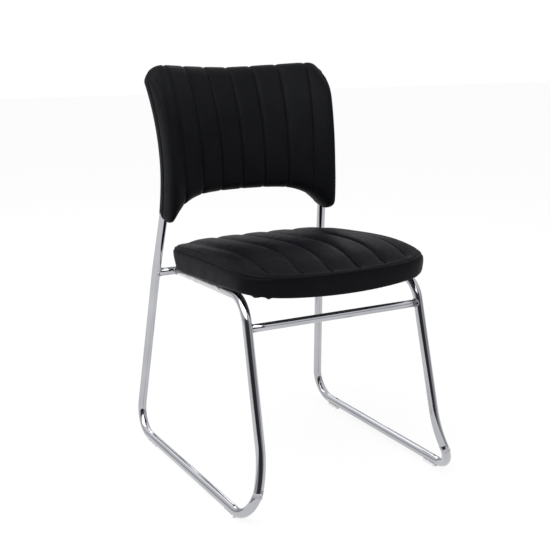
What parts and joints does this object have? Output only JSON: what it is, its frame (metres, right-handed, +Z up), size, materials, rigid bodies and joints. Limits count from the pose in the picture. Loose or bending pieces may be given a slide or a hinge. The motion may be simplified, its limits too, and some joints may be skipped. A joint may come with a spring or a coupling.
{
  "type": "sled base visitor chair",
  "caption": "Armless visitor chair on a bent chromed tube sled frame, with a channel-stitched padded seat and a curved padded back arched at its lower edge",
  "frame": {"origin": "Middle of the chair's footprint, on the floor", "axes": "X across the chair to the right of someone facing its front, Y toward the back, Z up; the chair faces -Y and is symmetric about the plane X = 0"},
  "size_m": [0.4998, 0.5932, 0.8338],
  "materials": {
    "chromed_tube": "polished chrome plate",
    "cover_leather": "satin black, fine grain",
    "cushion_foam": "open cell foam",
    "plywood": "bare moulded plywood",
    "dust_cloth": "non-woven black cloth",
    "glide_plastic": "pale moulded nylon",
    "black_plastic": "moulded black nylon",
    "zinc_steel": "zinc plated"
  },
  "bodies": {
    "root": {"back_board": "plywood", "back_cover_front": "cover_leather", "back_cover_rear": "cover_leather", "back_foam": "cushion_foam", "back_nut_high_left": "zinc_steel", "back_nut_high_right": "zinc_steel", "back_nut_low_left": "zinc_steel", "back_nut_low_right": "zinc_steel", "back_pad": "cushion_foam", "back_saddle_high_left": "black_plastic", "back_saddle_high_right": "black_plastic", "back_saddle_low_left": "black_plastic", "back_saddle_low_right": "black_plastic", "back_screw_high_left": "zinc_steel", "back_screw_high_right": "zinc_steel", "back_screw_low_left": "zinc_steel", "back_screw_low_right": "zinc_steel", "front_crossbar": "chromed_tube", "glide_front_left": "glide_plastic", "glide_front_right": "glide_plastic", "glide_rear_left": "glide_plastic", "glide_rear_right": "glide_plastic", "post_plug_left": "black_plastic", "post_plug_right": "black_plastic", "rear_crossbar": "chromed_tube", "seat_board": "plywood", "seat_cover": "cover_leather", "seat_dust_cover": "dust_cloth", "seat_foam": "cushion_foam", "seat_nut_front_left": "zinc_steel", "seat_nut_front_right": "zinc_steel", "seat_nut_rear_left": "zinc_steel", "seat_nut_rear_right": "zinc_steel", "seat_saddle_front_left": "black_plastic", "seat_saddle_front_right": "black_plastic", "seat_saddle_rear_left": "black_plastic", "seat_saddle_rear_right": "black_plastic", "seat_screw_front_left": "zinc_steel", "seat_screw_front_right": "zinc_steel", "seat_screw_rear_left": "zinc_steel", "seat_screw_rear_right": "zinc_steel", "side_frame_left": "chromed_tube", "side_frame_right": "chromed_tube"}
  },
  "joints": []
}
